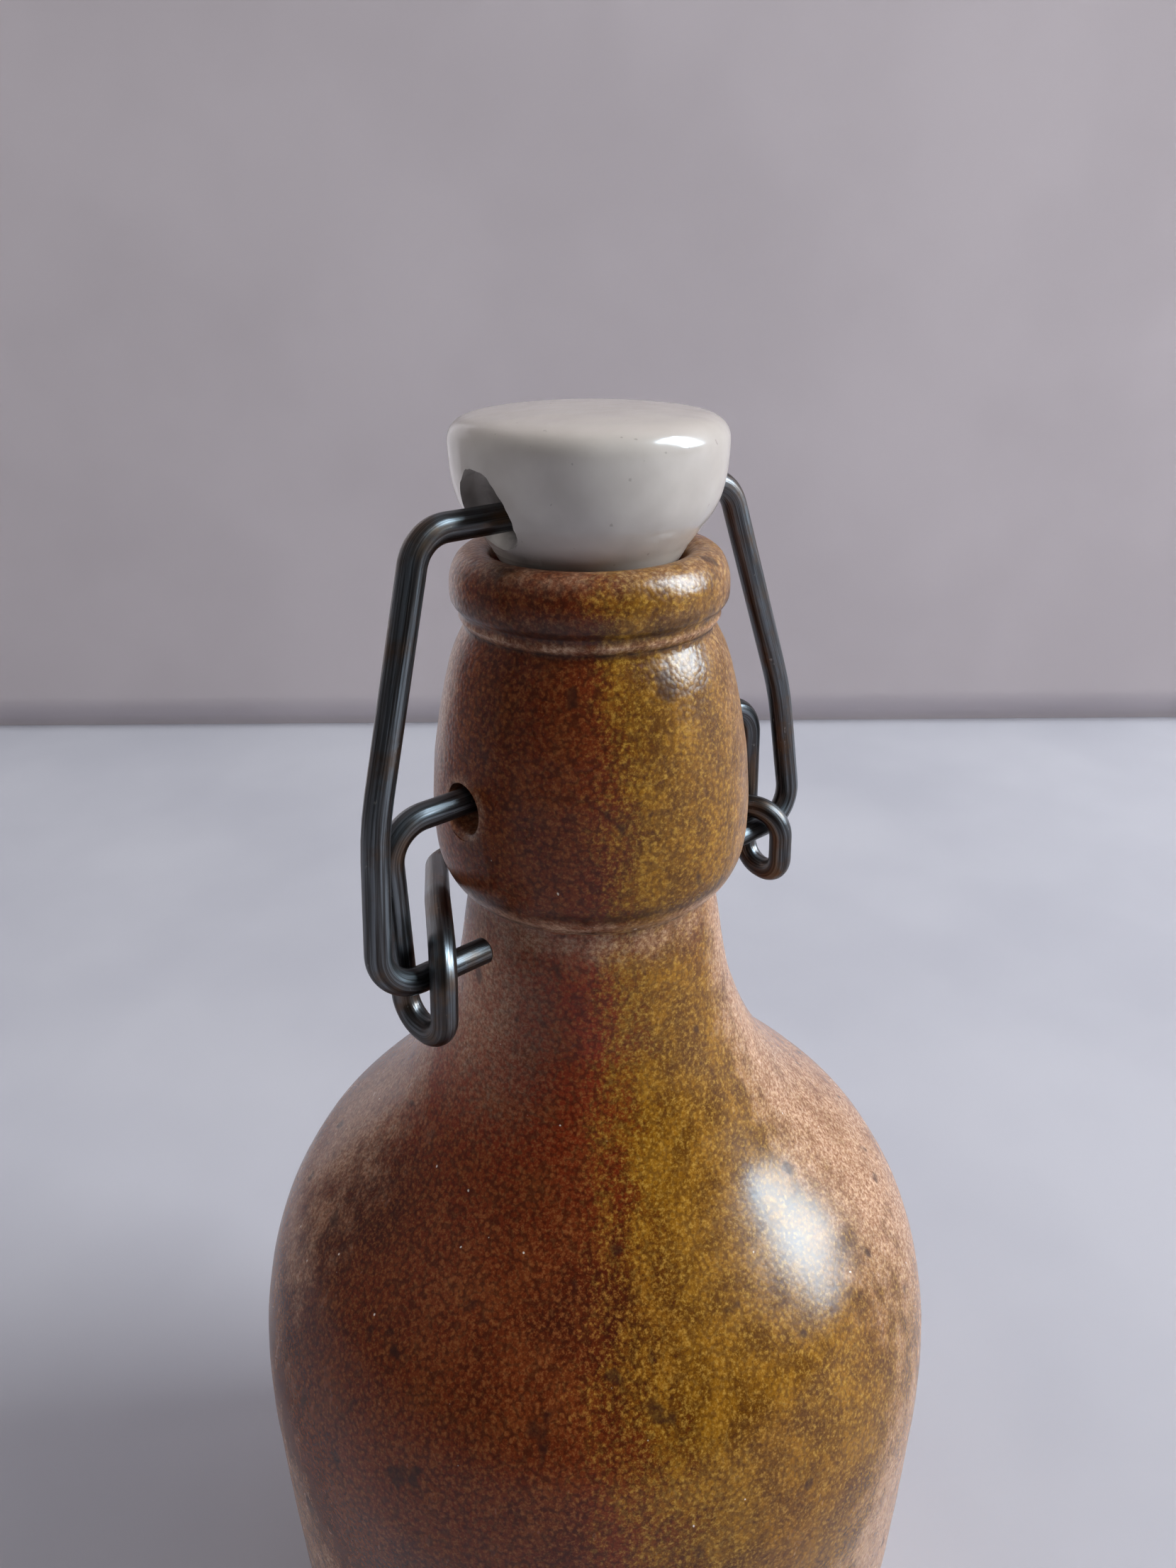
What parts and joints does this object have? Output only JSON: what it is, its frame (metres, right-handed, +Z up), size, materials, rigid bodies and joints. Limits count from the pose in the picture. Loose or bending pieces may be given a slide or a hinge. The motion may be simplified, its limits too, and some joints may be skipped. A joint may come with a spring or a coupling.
{
  "type": "swing top bottle",
  "caption": "Round-shouldered stoneware bottle with a barrel collar, closed by a porcelain stopper on a wire bail that an over-centre wire lever pulls tight.",
  "frame": {"origin": "centre of the underside, on the plane the bottle stands on", "axes": "+Z up along the bottle's axis; X is the axis of the lever's pivots; the lever's bow lies on the +Y side of the neck"},
  "size_m": [0.09, 0.09, 0.1977],
  "materials": {
    "salt_glaze": "glossy brown salt glaze, speckled and lightly pitted",
    "porcelain": "glossy white glaze",
    "seal_rubber": "matt",
    "wire_steel": "dull, darkened drawn wire"
  },
  "bodies": {
    "bottle": {"bottle": "salt_glaze"},
    "lever": {"lever": "wire_steel"},
    "bail": {"bail": "wire_steel"},
    "stopper": {"stopper": "porcelain", "seal_ring": "seal_rubber"}
  },
  "joints": [
    {"name": "lever_pivot", "type": "hinge", "parent": "bottle", "child": "lever", "pos_m": [0, 0, 0.1606], "axis": [1, 0, 0], "range_deg": [0, 95]},
    {"name": "bail_hooks", "type": "hinge", "parent": "lever", "child": "bail", "pos_m": [0, -0.0039, 0.145], "axis": [1, 0, 0], "range_deg": [-70, 0]},
    {"name": "stopper_swivel", "type": "hinge", "parent": "bail", "child": "stopper", "pos_m": [0, 0, 0.18845], "axis": [1, 0, 0], "range_deg": [-40, 0]}
  ],
  "couplings": [
    {"joint": "bail_hooks", "follows": "lever_pivot", "ratio": -0.645},
    {"joint": "stopper_swivel", "follows": "lever_pivot", "ratio": -0.355}
  ]
}
